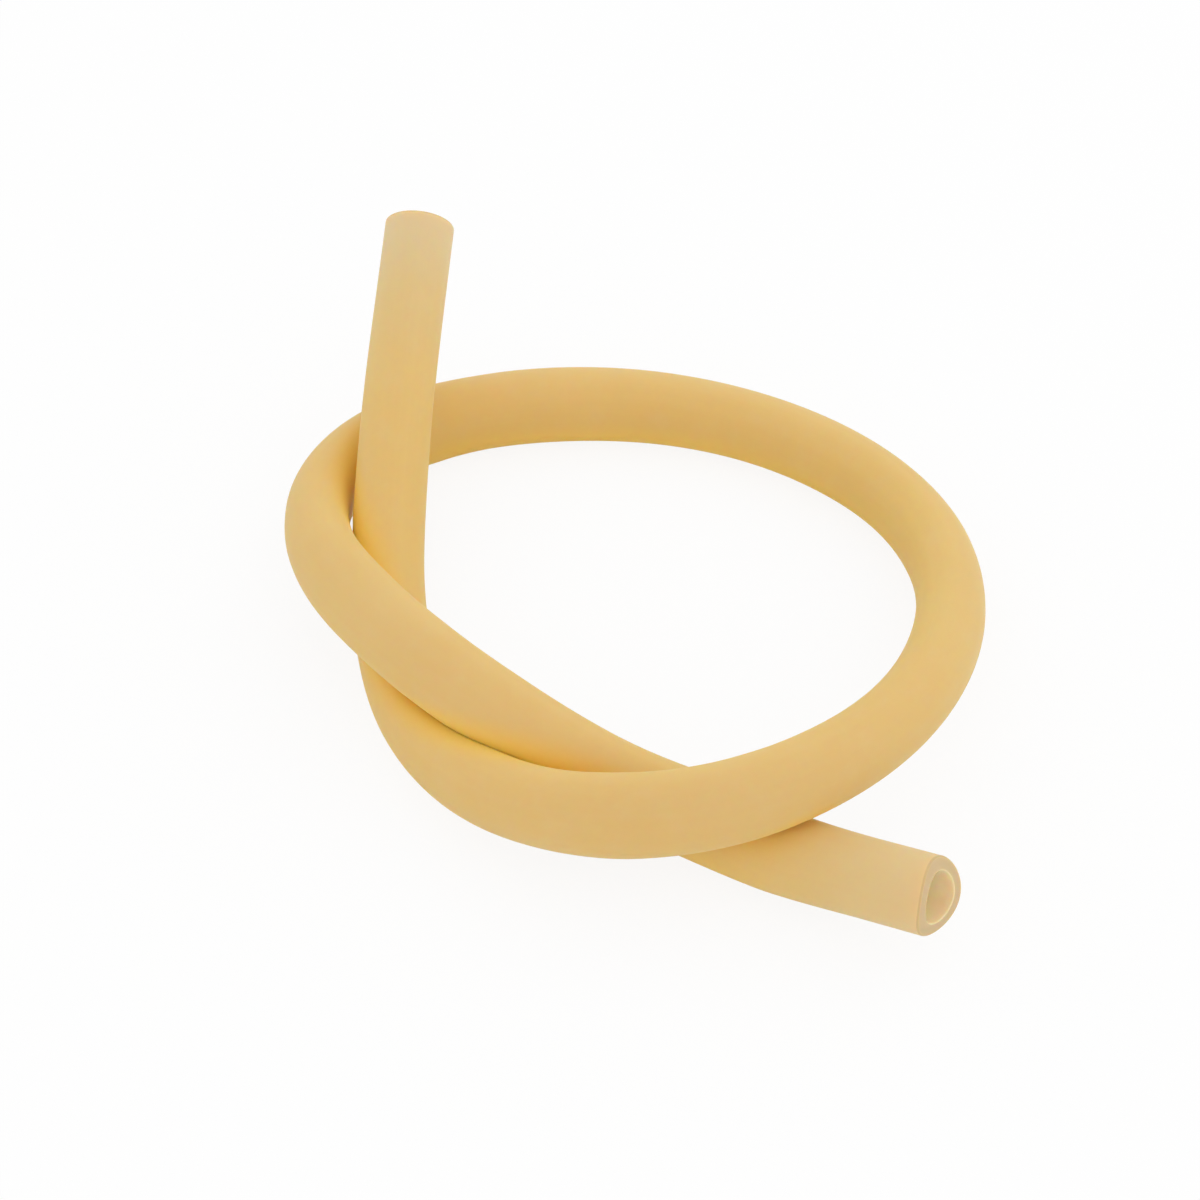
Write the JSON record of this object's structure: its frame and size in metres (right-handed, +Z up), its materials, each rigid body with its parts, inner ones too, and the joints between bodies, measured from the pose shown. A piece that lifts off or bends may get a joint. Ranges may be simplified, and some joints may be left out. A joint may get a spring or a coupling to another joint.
{
  "type": "rubber tubing",
  "caption": "Length of amber latex rubber tubing tied in a loose overhand knot, with square-cut open ends that push over barbs or glass tubes.",
  "frame": {"origin": "middle of the bounding box, on the surface that the tubing lies on", "axes": "+Z up from that surface, -Y towards the viewer, +X to the viewer's right"},
  "size_m": [0.0896, 0.1076, 0.0314],
  "materials": {
    "latex": "satin, slightly translucent amber latex"
  },
  "bodies": {
    "root": {"tubing": "latex"}
  },
  "joints": []
}
